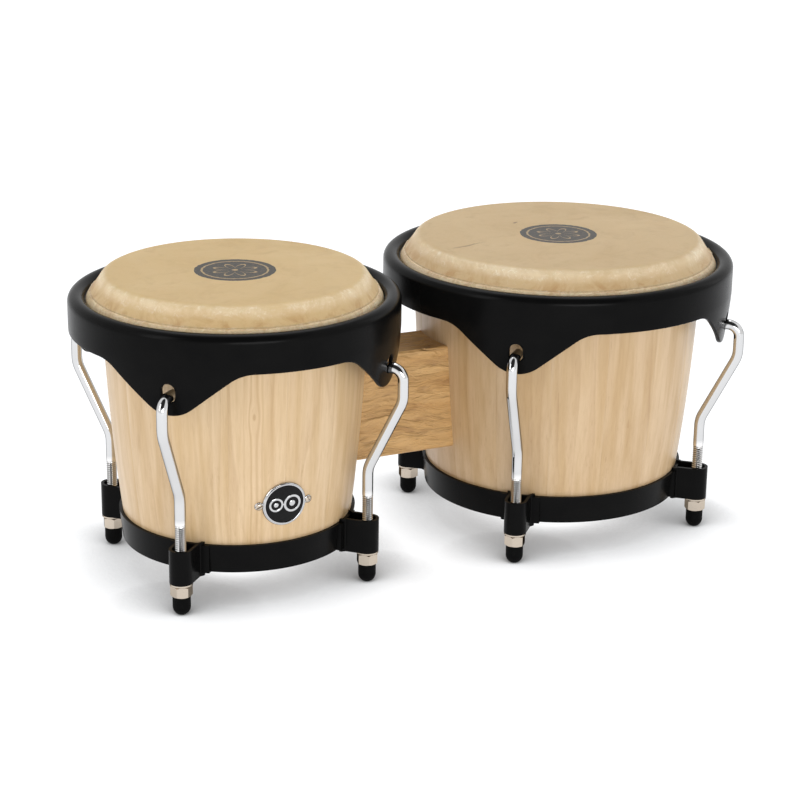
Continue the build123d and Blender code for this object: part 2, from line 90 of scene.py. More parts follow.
AXIS = {d: centre(f"{d}_flesh_hoop") for d in ("small", "large")}
RIM_R = {d: (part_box(f"{d}_rim")[1].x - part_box(f"{d}_rim")[0].x) / 2 for d in AXIS}
GROW = {d: RIM_R[d] - RIM_R["small"] for d in AXIS}
HEAD_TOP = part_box("small_head")[1].z
KNOT = AXIS["small"] + Vector((KNOT_R * cos(KNOT_ANGLE), KNOT_R * sin(KNOT_ANGLE), 0))
KNOT.z = KNOT_Z
KNOT_SIDE = Vector((-sin(KNOT_ANGLE), cos(KNOT_ANGLE), 0))


# ---------------------------------------------------------------- mesh helpers
def new_mesh(name, verts, faces):
    """Smooth-shaded mesh object."""
    me = bpy.data.meshes.new(name)
    me.from_pydata([tuple(v) for v in verts], [], [tuple(f) for f in faces])
    me.update()
    ob = bpy.data.objects.new(name, me)
    scene.collection.objects.link(ob)
    me.polygons.foreach_set("use_smooth", [True] * len(me.polygons))
    return ob


def grid_faces(nu, nv, close_u=False, close_v=False, base=0):
    """Quads of a grid whose vertex (i, j) is base + i * nv + j."""
    faces = []
    for i in range(nu if close_u else nu - 1):
        for j in range(nv if close_v else nv - 1):
            a, b = i, (i + 1) % nu
            c, d = j, (j + 1) % nv
            faces.append((base + a * nv + c, base + b * nv + c, base + b * nv + d, base + a * nv + d))
    return faces


def lathe(name, axis, profile, n=128, wobble=None):
    """Surface of revolution about an upright axis; profile is a closed or open (r, z) list."""
    verts = []
    for i in range(n):
        a = 2 * pi * i / n
        for j, (r, z) in enumerate(profile):
            if wobble:
                r, z = wobble(a, j, r, z)
            verts.append((axis[0] + r * cos(a), axis[1] + r * sin(a), z))
    return new_mesh(name, verts, grid_faces(n, len(profile), close_u=True))


def arc(cx, cz, r, a0, a1, n):
    """Points of an arc in degrees."""
    return [(cx + r * cos(radians(a)), cz + r * sin(radians(a))) for a in np.linspace(a0, a1, n)]


def tube(name, points, radius, n):
    """Round bar along points; radius is a function of (index, angle)."""
    pts = [Vector(p) for p in points]
    verts, side = [], None
    for i, p in enumerate(pts):
        t = (pts[min(i + 1, len(pts) - 1)] - pts[max(i - 1, 0)]).normalized()
        if side is None:
            side = t.orthogonal().normalized()
        side = (side - t * side.dot(t)).normalized()
        up = t.cross(side)
        for k in range(n):
            a = 2 * pi * k / n
            r = radius(i, a)
            verts.append(p + side * (r * cos(a)) + up * (r * sin(a)))
    faces = grid_faces(len(pts), n, close_v=True)
    faces.append(tuple(range(n)))
    faces.append(tuple(reversed(range((len(pts) - 1) * n, len(pts) * n))))
    return new_mesh(name, verts, faces)


def bevel(ob, width, segments=2, angle=35):
    m = ob.modifiers.new("edge", "BEVEL")
    m.width = width
    m.segments = segments
    m.limit_method = "ANGLE"
    m.angle_limit = radians(angle)
    m.harden_normals = True
    for p in ob.data.polygons:
        p.use_smooth = True
    return ob


def smooth_by_angle(ob, angle=30):
    me = ob.data
    bm = bmesh.new()
    bm.from_mesh(me)
    for e in bm.edges:
        if len(e.link_faces) == 2:
            e.smooth = e.calc_face_angle() < radians(angle)
    for f in bm.faces:
        f.smooth = True
    bm.to_mesh(me)
    bm.free()


# ---------------------------------------------------------------- node materials
class Mat:
    """A material: n("Math", ...) makes a ShaderNodeMath, l(socket, key) links it to the Principled BSDF."""

    def __init__(self, name, **base):
        self.m = bpy.data.materials.new(name)
        self.m.use_nodes = True
        self.t = self.m.node_tree
        self.b = self.t.nodes["Principled BSDF"]
        for k, v in base.items():
            self.b.inputs[k.replace("_", " ")].default_value = v

    def n(self, kind, inputs=None, **attrs):
        node = self.t.nodes.new("ShaderNode" + kind)
        for k, v in attrs.items():
            setattr(node, k, v)
        for k, v in (inputs or {}).items():
            if isinstance(v, bpy.types.NodeSocket):
                self.t.links.new(v, node.inputs[k])
            else:
                node.inputs[k].default_value = v
        return node

    def l(self, a, key):
        self.t.links.new(a, self.b.inputs[key])

    def math(self, op, a, b=0.0, c=0.0, clamp=False):
        return self.n("Math", {0: a, 1: b, 2: c}, operation=op, use_clamp=clamp).outputs[0]

    def add(self, a, b):
        return self.math("ADD", a, b)

    def sub(self, a, b):
        return self.math("SUBTRACT", a, b)

    def div(self, a, b):
        return self.math("DIVIDE", a, b)

    def power(self, a, b):
        return self.math("POWER", a, b)

    def mul_add(self, a, factor, offset):
        return self.math("MULTIPLY_ADD", a, factor, offset)

    def mul(self, first, *others):
        """Product of two or more values."""
        for other in others:
            first = self.math("MULTIPLY", first, other)
        return first

    def oval(self, across, along, half_across, half_along, power_along=2.0):
        """0 at the middle of an oval patch and 1 on its outline."""
        return self.add(self.power(self.div(across, half_across), 2.0),
                        self.power(self.div(along, half_along), power_along))

    def mix(self, fac, a, b):
        """Colour mix; the sockets are counted, because several share a name."""
        node = self.n("Mix", data_type="RGBA")
        for k, v in ((0, fac), (6, a), (7, b)):
            if isinstance(v, bpy.types.NodeSocket):
                self.t.links.new(v, node.inputs[k])
            else:
                node.inputs[k].default_value = v
        return node.outputs[2]

    def ramp(self, fac, stops):
        r = self.n("ValToRGB", {0: fac})
        while len(r.color_ramp.elements) < len(stops):
            r.color_ramp.elements.new(0.5)
        for e, (p, c) in zip(r.color_ramp.elements, stops):
            e.position = p
            e.color = c if hasattr(c, "__len__") else (c, c, c, 1)
        return r.outputs[0]

    def noise(self, vec, scale, detail=4.0, rough=0.55, distort=0.0):
        return self.n("TexNoise", {"Vector": vec, "Scale": scale, "Detail": detail, "Roughness": rough,
                                   "Distortion": distort}).outputs[0]

    def stretch(self, vec, scale):
        return self.n("Mapping", {"Vector": vec, "Scale": scale}).outputs[0]

    def coords(self):
        return self.n("TexCoord").outputs["Object"]

    def bump(self, height, strength, distance, under=None):
        node = self.n("Bump", {"Height": height, "Strength": strength, "Distance": distance})
        if under:
            self.t.links.new(under, node.inputs["Normal"])
        return node.outputs[0]


def rgb(r, g, b):
    """sRGB 0-255 to linear."""
    shares = [c / 255 for c in (r, g, b)]
    linear = [c / 12.92 if c <= 10 / 255 else ((c + 0.055) / 1.055) ** 2.4 for c in shares]
    return (*linear, 1)


# offset from the knot, half width, strength
GROWTH_LINES = ((-0.0017, 0.0005, 0.42), (0.0015, 0.0008, 0.36), (0.0044, 0.0005, 0.24),
                (-0.0056, 0.0005, 0.20), (0.0105, 0.0012, 0.18))


def wood(name, light, mid, dark, rough=0.4):
    """Lacquered straight-grained staves; the mesh attribute 'grain' holds (across, along, depth)."""
    m = Mat(name)
    g = m.n("Attribute", attribute_name="grain").outputs["Vector"]
    tone = m.n("Attribute", attribute_name="tone").outputs["Fac"]
    cut = m.n("SeparateXYZ", {0: g})
    across, along, depth = cut.outputs[0], cut.outputs[1], cut.outputs[2]
    # a small knot pushes the growth rings aside
    rel = m.n("VectorMath", {0: m.coords(), 1: tuple(KNOT)}, operation="SUBTRACT").outputs[0]
    side = m.n("VectorMath", {0: rel, 1: tuple(KNOT_SIDE)}, operation="DOT_PRODUCT").outputs["Value"]
    rise = m.n("SeparateXYZ", {0: rel}).outputs[2]
    far = m.oval(side, rise, 0.0034, 0.0095)
    swell = m.math("EXPONENT", m.mul(far, -1.0))
    across = m.sub(across, m.mul(side, swell, 0.92))
    p = m.n("CombineXYZ", {0: across, 1: along, 2: depth}).outputs[0]
    drift = m.noise(m.stretch(p, (22, 2.0, 22)), 1.0, 2, 0.45)
    wobble = m.noise(m.stretch(p, (160, 5, 160)), 1.0, 2, 0.5)
    rings = m.add(m.mul(across, 95), m.add(m.mul(drift, 10.0), m.mul(wobble, 0.30)))
    ring = m.math("FRACT", rings)
    late = m.ramp(ring, ((0.0, 0.0), (0.50, 0.10), (0.86, 0.75), (0.93, 1.0), (1.0, 0.0)))
    strong = m.ramp(m.noise(m.stretch(p, (75, 2.4, 75)), 1.0, 3, 0.6), ((0.42, 0.0), (0.70, 1.0)))
    fine = m.noise(m.stretch(p, (560, 3.2, 560)), 1.0, 3, 0.6)
    hair = m.noise(m.stretch(p, (1900, 11, 1900)), 1.0, 3, 0.7)
    pores = m.ramp(m.noise(m.stretch(p, (1500, 60, 1500)), 1.0, 2, 0.5), ((0.60, 0.0), (0.68, 1.0)))
    pores = m.mul(pores, m.mul_add(late, 0.7, 0.3))
    broad = m.noise(m.stretch(p, (150, 2.0, 150)), 1.0, 3, 0.5)
    a = m.mix(m.ramp(broad, ((0.36, 0.0), (0.64, 1.0))), light, mid)
    a = m.mix(m.mul(late, strong, 0.34), a, dark)
    a = m.mix(m.mul(m.ramp(fine, ((0.44, 0.0), (0.72, 1.0))), 0.17), a, dark)
    a = m.mix(m.mul(m.ramp(hair, ((0.5, 0.0), (0.75, 1.0))), 0.14), a, dark)
    a = m.mix(m.mul(pores, 0.28), a, dark)
    heart = m.ramp(m.oval(side, rise, 0.0011, 0.0026), ((0.25, 1.0), (1.0, 0.0)))
    a = m.mix(m.mul(heart, 0.40), a, rgb(160, 112, 56))
    # a few darker growth lines run the height of that stave and part round the knot
    pinched = m.mul(side, m.sub(1.0, m.mul(swell, 0.92)))
    sway = m.sub(m.noise(m.stretch(m.coords(), (0, 0, 22)), 1.0, 3, 0.5), 0.5)
    pinched = m.add(pinched, m.mul(sway, 0.0022))
    front = m.math("LESS_THAN", m.n("SeparateXYZ", {0: rel}).outputs[1], 0.04)
    for offset, half_width, strength in GROWTH_LINES:
        off_line = m.div(m.sub(pinched, offset), half_width)
        line = m.math("EXPONENT", m.mul(m.power(off_line, 2.0), -1.0))
        a = m.mix(m.mul(line, front, strength), a, rgb(172, 128, 70))
    hsv = m.n("HueSaturation", {"Color": a, "Value": m.mul_add(tone, 0.13, 0.93),
                                "Saturation": m.mul_add(tone, -0.05, 0.985),
                                "Hue": m.mul_add(tone, 0.003, 0.4985)})
    m.l(hsv.outputs[0], "Base Color")
    m.l(m.mul_add(fine, 0.12, rough - 0.05), "Roughness")
    h = m.sub(m.mul(fine, 0.5), pores)
    m.l(m.bump(h, 0.5, 0.00005), "Normal")
    m.b.inputs["Coat Weight"].default_value = 0.22
    m.b.inputs["Coat Roughness"].default_value = 0.26
    return m


def rough_wood(name, light, mid, dark):
    """Block left rough from the saw: ripples and torn fibres running across, along X."""
    m = Mat(name)
    c = m.coords()
    cut = m.n("SeparateXYZ", {0: c})
    sway = m.sub(m.noise(m.stretch(c, (38, 60, 38)), 1.0, 2, 0.5), 0.5)
    lift = m.add(cut.outputs[2], m.mul(sway, 0.010))
    p = m.n("CombineXYZ", {0: cut.outputs[0], 1: cut.outputs[1], 2: lift}).outputs[0]
    ripple = m.noise(m.stretch(p, (42, 110, 230)), 1.0, 3, 0.5, 1.1)
    torn = m.noise(m.stretch(p, (150, 500, 900)), 1.0, 4, 0.65, 0.5)
    fibre = m.noise(m.stretch(p, (120, 1800, 2400)), 1.0, 3, 0.7)
    # painted shade: the valleys of the saw ripples are darkened in the colour
    valley_shade = m.ramp(ripple, ((0.28, 1.0), (0.44, 0.25), (0.60, 0.0)))
    broad = m.noise(m.stretch(p, (14, 50, 120)), 1.0, 3, 0.5)
    a = m.mix(m.ramp(broad, ((0.35, 0.0), (0.66, 1.0))), light, mid)
    a = m.mix(m.mul(valley_shade, 0.46), a, dark)
    a = m.mix(m.mul(m.ramp(torn, ((0.52, 0.0), (0.75, 1.0))), 0.20), a, dark)
    a = m.mix(m.mul(m.ramp(fibre, ((0.5, 0.0), (0.8, 1.0))), 0.22), a, dark)
    m.l(a, "Base Color")
    m.l(m.mul_add(torn, 0.2, 0.42), "Roughness")
    h = m.add(ripple, m.mul(torn, 0.10))
    m.l(m.bump(h, 1.0, 0.0040), "Normal")
    m.b.inputs["Coat Weight"].default_value = 0.12
    m.b.inputs["Coat Roughness"].default_value = 0.35
    return m


def black_coat(name, rough=0.25):
    """Satin powder coat: faint orange peel, slightly uneven sheen."""
    m = Mat(name)
    c = m.coords()
    cool, warm = (0.0030, 0.0030, 0.0031, 1), (0.0045, 0.0044, 0.0043, 1)
    m.l(m.ramp(m.noise(c, 60, 3), ((0.3, cool), (0.7, warm))), "Base Color")
    m.l(m.mul_add(m.noise(c, 140, 3), 0.10, rough - 0.05), "Roughness")
    m.l(m.bump(m.noise(c, 1300, 2, 0.4), 0.08, 0.00003), "Normal")
    m.b.inputs["Specular IOR Level"].default_value = 0.052
    return m


def metal(name, colour, rough, spread=0.05, bump=0.1, scale=900, edge=0.35):
    m = Mat(name, Metallic=1.0)
    c = m.coords()
    d = tuple(x * 0.93 for x in colour[:3]) + (1,)
    m.l(m.mix(m.noise(c, 90, 3), d, colour), "Base Color")
    m.l(m.mul_add(m.noise(c, 220, 4), spread, rough), "Roughness")
    m.l(m.bump(m.noise(c, scale, 2), bump, 0.00001), "Normal")
    m.b.inputs["Specular Tint"].default_value = (edge, edge, edge, 1)
    return m


def gloss_black(name):
    m = Mat(name)
    c = m.coords()
    m.l(m.ramp(m.noise(c, 400, 2), ((0.3, 0.003), (0.8, (0.006, 0.006, 0.0065, 1)))), "Base Color")
    m.l(m.mul_add(m.noise(c, 700, 2), 0.06, 0.10), "Roughness")
    m.b.inputs["Specular IOR Level"].default_value = 0.16
    return m


def rubber_mat():
    m = Mat("rubber")
    c = m.coords()
    m.l(m.ramp(m.noise(c, 300, 3), ((0.3, 0.0018), (0.8, 0.0035))), "Base Color")
    m.l(m.mul_add(m.noise(c, 500, 3), 0.2, 0.5), "Roughness")
    m.l(m.bump(m.noise(c, 2500, 2), 0.3, 0.00003), "Normal")
    m.b.inputs["Specular IOR Level"].default_value = 0.05
    return m


CREASE_OUT, CREST_OUT = 5.55, 6.9      # millimetres out from the bearing edge


def rawhide(name, axis, edge, stamp_r, stamp_ink, warm, pale, dark, marks=()):
    """Hide stretched over the edge: mottled, with vein-like clouds and an ink stamp in the centre."""
    m = Mat(name)
    c = m.coords()
    p = m.n("VectorMath", {0: c, 1: (axis[0], axis[1], 0)}, operation="SUBTRACT").outputs[0]
    sx = m.n("SeparateXYZ", {0: p})
    x, y = sx.outputs[0], sx.outputs[1]
    rad = m.math("SQRT", m.add(m.mul(x, x), m.mul(y, y)))
    ang = m.math("ARCTAN2", y, x)
    cloud = m.noise(p, 14, 5, 0.55, 0.6)
    veins = m.noise(p, 55, 6, 0.65, 1.2)
    fleck = m.noise(p, 420, 4, 0.7)
    grain = m.noise(p, 2600, 3, 0.6)
    col = m.mix(m.ramp(cloud, ((0.3, 0.0), (0.7, 1.0))), warm, pale)
    col = m.mix(m.mul(m.ramp(veins, ((0.50, 0.0), (0.75, 1.0))), 0.25), col, dark)
    col = m.mix(m.mul(m.ramp(fleck, ((0.62, 0.0), (0.74, 1.0))), 0.16), col, dark)
    # the bend over the bearing edge is painted pale, partly as scuffs and partly as a painted highlight
    # along the bend; the slope below it is stained in patches
    z = m.n("SeparateXYZ", {0: c}).outputs[2]
    drop = m.sub(HEAD_TOP, z)
    polar = m.n("CombineXYZ", {"X": m.mul(ang, 30), "Y": m.mul(z, 90), "Z": 0.0}).outputs[0]
    steep = m.mul(drop, 100)
    streak = m.noise(polar, 1.0, 5, 0.65, 0.5)
    side = m.ramp(steep, ((0.06, 0.0), (0.30, 1.0)))
    lip_highlight_and_scuff = m.ramp(steep, ((0.0, 0.0), (0.10, 0.7), (0.30, 1.0), (0.70, 0.1)))
    scuff = m.ramp(m.noise(p, 42, 5, 0.72, 0.6), ((0.40, 0.0), (0.60, 1.0)))
    col = m.mix(m.mul(lip_highlight_and_scuff, m.mul_add(scuff, 0.46, 0.34)), col, rgb(242, 224, 194))
    col = m.mix(m.mul(side, 0.30), col, rgb(228, 196, 152))
    stain = m.ramp(m.noise(p, 60, 5, 0.7, 1.2), ((0.47, 0.0), (0.61, 1.0)))
    low = m.ramp(steep, ((0.45, 0.0), (0.85, 1.0)))
    col = m.mix(m.mul(low, stain, 0.60), col, rgb(184, 138, 88))
    col = m.mix(m.mul(side, m.ramp(streak, ((0.50, 0.0), (0.70, 1.0))), 0.30), col, pale)
    # painted shade darkens the groove at the flap's edge, and the turn round the hoop shows as a pale,
    # fluffy crest
    out = m.mul(m.sub(rad, edge), 1000)
    out = m.add(out, m.mul(m.sub(m.noise(p, 240, 3, 0.6), 0.5), 0.7))
    off_crease = m.math("ABSOLUTE", m.sub(out, CREASE_OUT))
    crease_shade = m.ramp(m.mul(off_crease, 0.8), ((0.0, 1.0), (0.2, 0.9), (0.45, 0.0)))
    crease_shade = m.mul(crease_shade, m.math("GREATER_THAN", drop, 0.0085))
    col = m.mix(m.mul(crease_shade, 0.34), col, tuple(0.55 * v for v in dark[:3]) + (1,))
    off_crest = m.math("ABSOLUTE", m.sub(out, CREST_OUT))
    crest = m.ramp(m.mul(off_crest, 0.25), ((0.0, 1.0), (0.25, 0.7), (0.5, 0.0)))
    crest = m.mul(crest, low)
    fluff = m.ramp(m.noise(p, 210, 5, 0.72, 1.2), ((0.42, 0.0), (0.62, 1.0)))
    col = m.mix(m.mul(crest, 0.45), col, rgb(232, 208, 168))
    col = m.mix(m.mul(crest, fluff, 0.62), col, rgb(246, 230, 200))
    dry = m.mul(lip_highlight_and_scuff, m.ramp(m.noise(p, 300, 6, 0.8, 1.0), ((0.53, 0.0), (0.62, 1.0))))
    col = m.mix(m.mul(dry, scuff, 0.75), col, rgb(250, 240, 222))
    # old marks in the skin
    for (x0, y0), (x1, y1), half, depth in marks:
        length = sqrt((x1 - x0) ** 2 + (y1 - y0) ** 2)
        ux, uy = (x1 - x0) / length, (y1 - y0) / length
        rx, ry = m.sub(x, (x0 + x1) / 2), m.sub(y, (y0 + y1) / 2)
        run = m.add(m.mul(rx, ux), m.mul(ry, uy))
        off = m.sub(m.mul(rx, -uy), m.mul(ry, -ux))
        off = m.add(off, m.mul(m.sub(m.noise(p, 120, 3), 0.5), 0.004))
        far = m.oval(off, run, half, length / 2, 4.0)
        broken = m.ramp(m.noise(p, 150, 4, 0.7), ((0.36, 0.0), (0.54, 1.0)))
        mask = m.mul(m.ramp(far, ((0.1, 1.0), (1.0, 0.0))), broken)
        col = m.mix(m.mul(mask, depth), col, rgb(92, 66, 40))
    # generic ink stamp: round, with a pale ring and a rosette of eight petals, unevenly inked
    wear = m.noise(p, 900, 4, 0.7)
    blot = m.mul(m.sub(m.noise(p, 260, 3), 0.5), 0.0016)
    rr = m.div(m.add(rad, blot), stamp_r)
    disc = m.math("LESS_THAN", rr, 0.97)
    ring = m.mul(m.math("GREATER_THAN", rr, 0.76), m.math("LESS_THAN", rr, 0.81))
    petal = m.math("ABSOLUTE", m.math("COSINE", m.mul(ang, 4.0)))
    petal_from = m.math("GREATER_THAN", rr, m.mul_add(petal, 0.36, 0.14))
    petal_to = m.math("LESS_THAN", rr, m.mul_add(petal, 0.40, 0.17))
    flower = m.mul(petal_from, petal_to)
    hub = m.math("LESS_THAN", rr, 0.07)
    pale_marks = m.math("MAXIMUM", ring, m.math("MAXIMUM", flower, hub))
    ink = m.mul(disc, m.sub(1.0, m.mul(pale_marks, 0.62)))
    ink = m.mul(ink, m.ramp(wear, ((0.30, 0.86), (0.50, 1.0))))
    col = m.mix(ink, col, stamp_ink)
    m.l(col, "Base Color")
    m.l(m.mul_add(fleck, 0.16, 0.40), "Roughness")
    h = m.add(m.mul(fleck, 0.5), m.mul(grain, 0.25))
    skin = m.bump(h, 0.35, 0.00008)
    m.l(m.bump(m.add(m.mul(side, streak), m.mul(crest, fluff)), 0.5, 0.0004, skin), "Normal")
    m.b.inputs["Subsurface Weight"].default_value = 0.12
    m.b.inputs["Subsurface Radius"].default_value = (0.004, 0.002, 0.001)
    m.b.inputs["Subsurface Scale"].default_value = 1.0
    m.b.inputs["Specular IOR Level"].default_value = 0.35
    return m


OAK = wood("oak_shell", rgb(220, 191, 150), rgb(207, 175, 128), rgb(164, 122, 70))
BLOCK_WOOD = rough_wood("oak_block", rgb(217, 174, 114), rgb(197, 151, 91), rgb(122, 78, 38))
COAT = black_coat("black_coat")
CHROME = metal("chrome", (0.62, 0.62, 0.63, 1), 0.05, 0.05, 0.05)
NICKEL = metal("nickel", (0.60, 0.52, 0.43, 1), 0.10, 0.08, 0.3, edge=0.0)
STEEL = metal("zinc_steel", (0.56, 0.56, 0.57, 1), 0.28, 0.12, 0.3)
BRASS = metal("turned_brass", (0.78, 0.60, 0.30, 1), 0.25, 0.1, 0.3)
RUBBER = rubber_mat()
BADGE_BLACK = gloss_black("badge_black")


def dress(ob, mat):
    ob.data.materials.clear()
    ob.data.materials.append(mat.m)
    return ob


def put(ob, body, mat, slot, *nodes):
    dress(ob, mat)
    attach(ob, body)
    if nodes:
        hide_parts(*nodes)


# ---------------------------------------------------------------- shells
def shell_arc():
    """Centre and radius of the arc through three points (r, z) of the shell's belly."""
    (ax, ay), (bx, by), (cx, cy) = (0.0658, 0.0235), (0.0728, 0.088), (EDGE_R, 0.1797)
    d = 2 * (ax * (by - cy) + bx * (cy - ay) + cx * (ay - by))
    aa, bb, cc = ax**2 + ay**2, bx**2 + by**2, cx**2 + cy**2
    ux = (aa * (by - cy) + bb * (cy - ay) + cc * (ay - by)) / d
    uy = (aa * (cx - bx) + bb * (ax - cx) + cc * (bx - ax)) / d
    return ux, uy, sqrt((ax - ux) ** 2 + (ay - uy) ** 2)


ARC = shell_arc()
STAVE_R = 0.075                # turns an angle into a width across the grain
TOP_BEVEL, FOOT_BEVEL = 0.003, 0.0006
GLUE_GAP = 0.0006              # share of a stave's pitch left free at each side
TONE_SHIFT = {"small": 0.15, "large": 0.72}
EASED = {0.0: 0.00012, 0.02: 0.00002, 0.98: 0.00002, 1.0: 0.00012}    # share across a stave: how far in


def shell_r(z, grow=0.0):
    return ARC[0] + sqrt(ARC[2] ** 2 - (z - ARC[1]) ** 2) + grow


def build_shell(d):
    g, ax, n = GROW[d], AXIS[d], STAVES[d]
    lo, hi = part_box(f"{d}_shell")
    z0, z1 = lo.z, hi.z
    outer = [(shell_r(z, g), z) for z in np.linspace(z0 + FOOT_BEVEL, z1 - EDGE_ROUND, 44)]
    crown = arc(shell_r(z1, g) - EDGE_ROUND, z1 - EDGE_ROUND, EDGE_ROUND, 10, 90, 8)
    bore = shell_r(z1, g) - WALL
    bevel_in = [(bore + TOP_BEVEL, z1), (bore, z1 - TOP_BEVEL)]
    inner = [(shell_r(z, g) - WALL, z) for z in np.linspace(z1 - 2 * TOP_BEVEL, z0 + FOOT_BEVEL, 30)]
    foot = [(shell_r(z0, g) - WALL + FOOT_BEVEL, z0), (shell_r(z0, g) - FOOT_BEVEL, z0)]
    profile = outer + crown + bevel_in + inner + foot
    m = len(profile)
    outside = len(outer) + len(crown)
    pitch = 2 * pi / n
    verts, faces, grain, tones = [], [], [], []
    steps = [0.0, 0.02, 0.06] + list(np.linspace(0.12, 0.88, 7)) + [0.94, 0.98, 1.0]
    for k in range(n):
        base = len(verts)
        start = radians(TURN[d]) + (k - 0.5) * pitch
        off = rng.uniform(0, 40, 3) * 0.1
        tone = rng.uniform(0, 1) - TONE_SHIFT[d]
        flip = rng.choice((-1, 1))
        for s in steps:
            a = start + (GLUE_GAP + s * (1 - 2 * GLUE_GAP)) * pitch
            eased = EASED.get(s, 0)
            for j, (r, z) in enumerate(profile):
                rr = r - eased if j < outside else r
                verts.append((ax.x + rr * cos(a), ax.y + rr * sin(a), z))
                grain.append(((s - 0.5) * pitch * STAVE_R + off[0], flip * z + off[1], r + off[2]))
                tones.append(tone)
        faces += grid_faces(len(steps), m, close_v=True, base=base)
        faces.append([base + j for j in range(m)])
        faces.append([base + (len(steps) - 1) * m + j for j in reversed(range(m))])
    ob = new_mesh(f"{d}_shell_staves", verts, faces)
    fix(ob)
    attributes(ob, grain, tones)
    put(ob, "drums", OAK, "shell_wood", f"{d}_shell")
    smooth_by_angle(ob, 40)


def attributes(ob, grain, tones):
    """Place in the wood and tone of the stave, for the wood material."""
    a = ob.data.attributes.new("grain", "FLOAT_VECTOR", "POINT")
    a.data.foreach_set("vector", np.array(grain, np.float32).ravel())
    b = ob.data.attributes.new("tone", "FLOAT", "POINT")
    b.data.foreach_set("value", np.array(tones, np.float32))


def fix(ob):
    """Turns the faces to point outwards."""
    bm = bmesh.new()
    bm.from_mesh(ob.data)
    bmesh.ops.recalc_face_normals(bm, faces=bm.faces)
    bm.to_mesh(ob.data)
    bm.free()


# ---------------------------------------------------------------- heads
LUMPS = ((3, 0.4), (7, 0.35), (13, 0.3), (23, 0.25), (41, 0.2), (67, 0.12))    # waves round, size
HAIRS = 150


def build_head(d):
    """Rawhide over the bearing edge, down a sloping side and round the flesh hoop."""
    g, ax = GROW[d], AXIS[d]
    crown = EDGE_R + g - EDGE_ROUND
    zs = HEAD_TOP - HIDE - EDGE_ROUND
    hoop_r, hoop_z = HOOP_R + g, HOOP_Z
    # direction square to the side, which touches both the bend and the turn round the hoop
    apart = math.hypot(hoop_r - crown, hoop_z - zs)
    square = math.atan2(hoop_z - zs, hoop_r - crown) + math.acos((BEND_R - TURN_OUT) / apart)
    deg = math.degrees(square)

    def skirt(t, lift=0.0):
        """Point on the stretched side, from the bend (t = 0) to the outer turn (t = 1)."""
        r0, z0 = crown + BEND_R * cos(square), zs + BEND_R * sin(square)
        r1, z1 = hoop_r + TURN_OUT * cos(square), hoop_z + TURN_OUT * sin(square)
        sag = lift - 0.0007 * t * (1 - t)
        return r0 + (r1 - r0) * t + sag * cos(square), z0 + (z1 - z0) * t + sag * sin(square)

    shares = (0.0, 0.05, 0.12, 0.2, 0.3, 0.4, 0.5, 0.6, 0.7, 0.8, 0.88, 0.94, 0.98, 1.0)
    top = [(crown * t, HEAD_TOP) for t in shares]
    bend = arc(crown, zs, BEND_R, 84, deg, 12)
    slope = [skirt(t) for t in (0.08, 0.2, 0.32, 0.44, 0.54, 0.62, 0.68, 0.71)]
    groove = [skirt(0.73, -0.00022), skirt(0.745, -0.00020), skirt(0.757, 0.00026), skirt(0.775, 0.00036)]
    bead = [skirt(0.84, 0.00034), skirt(0.92, 0.00018)] + arc(hoop_r, hoop_z, TURN_OUT, deg, -55, 20)
    tuck = [(hoop_r + 0.0018, hoop_z - 0.0029)] + arc(hoop_r, hoop_z, TURN_IN, -62, 180, 16)
    inner = arc(hoop_r, hoop_z, TURN_OUT, 200, 90, 8) + [skirt(0.5, -HIDE)]
    under = arc(crown, zs, EDGE_ROUND + 0.00008, deg, 88, 8)
    low = [(crown * t, HEAD_TOP - 0.00095) for t in (0.9, 0.6, 0.3, 0.0)]
    profile = top + bend + slope + groove + bead + tuck + inner + under + low
    first_bead = len(top + bend + slope)
    last_bead = first_bead + len(groove + bead)
    ph = rng.uniform(0, 2 * pi, 12)

    def wobble(a, j, r, z):
        lump = sum(sin(k * a + phase) * size for (k, size), phase in zip(LUMPS, ph))
        if first_bead <= j < last_bead:
            return r + min(0.0, lump) * 0.00010, z + lump * 0.00016
        if len(top) + 4 <= j < first_bead:
            return r + lump * 0.00012, z
        return r, z

    ob = lathe(f"{d}_rawhide_head", ax, profile, 288, wobble)
    fix(ob)
    dress(ob, RAWHIDE[d])
    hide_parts(f"{d}_head")
    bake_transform(ob)
    build_fray(d, skirt)


def build_fray(d, skirt):
    """Loose fibres along the cut edge of the hide, where it was trimmed above the hoop."""
    ax = AXIS[d]
    verts, faces = [], []
    for i in range(HAIRS):
        a = rng.uniform(0, 2 * pi)
        length = rng.uniform(0.0012, 0.0048)
        lean = rng.normal(0, 0.5)
        base_r, base_z = skirt(rng.uniform(0.72, 0.84), 0.00034)
        w = rng.uniform(0.00008, 0.00026)
        for s in range(4):
            t = s / 3
            aa = a + length * t * (1 if lean > 0 else -1) / base_r
            rise = 0.0007 * sin(pi * t) * lean
            rr = base_r + 0.00022 * sin(pi * t) - rise * 0.55
            zz = base_z + 0.00020 * sin(pi * t) + rise * 0.8
            ww = w * (1 - 0.8 * t)
            verts.append((ax.x + (rr - ww) * cos(aa), ax.y + (rr - ww) * sin(aa), zz))
            verts.append((ax.x + rr * cos(aa), ax.y + rr * sin(aa), zz + ww * 0.9))
            verts.append((ax.x + (rr + ww) * cos(aa), ax.y + (rr + ww) * sin(aa), zz))
        b = i * 12
        for s in range(3):
            q = b + s * 3
            for u in range(3):
                v = (u + 1) % 3
                faces.append((q + u, q + v, q + 3 + v, q + 3 + u))
        faces.append((b, b + 2, b + 1))
        faces.append((b + 9, b + 10, b + 11))
    fray = new_mesh(f"{d}_hide_fray", verts, faces)
    put(fray, BODY[d], FRAY, "rawhide")


RAWHIDE = {}
INK = {"small": rgb(36, 31, 24), "large": rgb(50, 46, 41)}
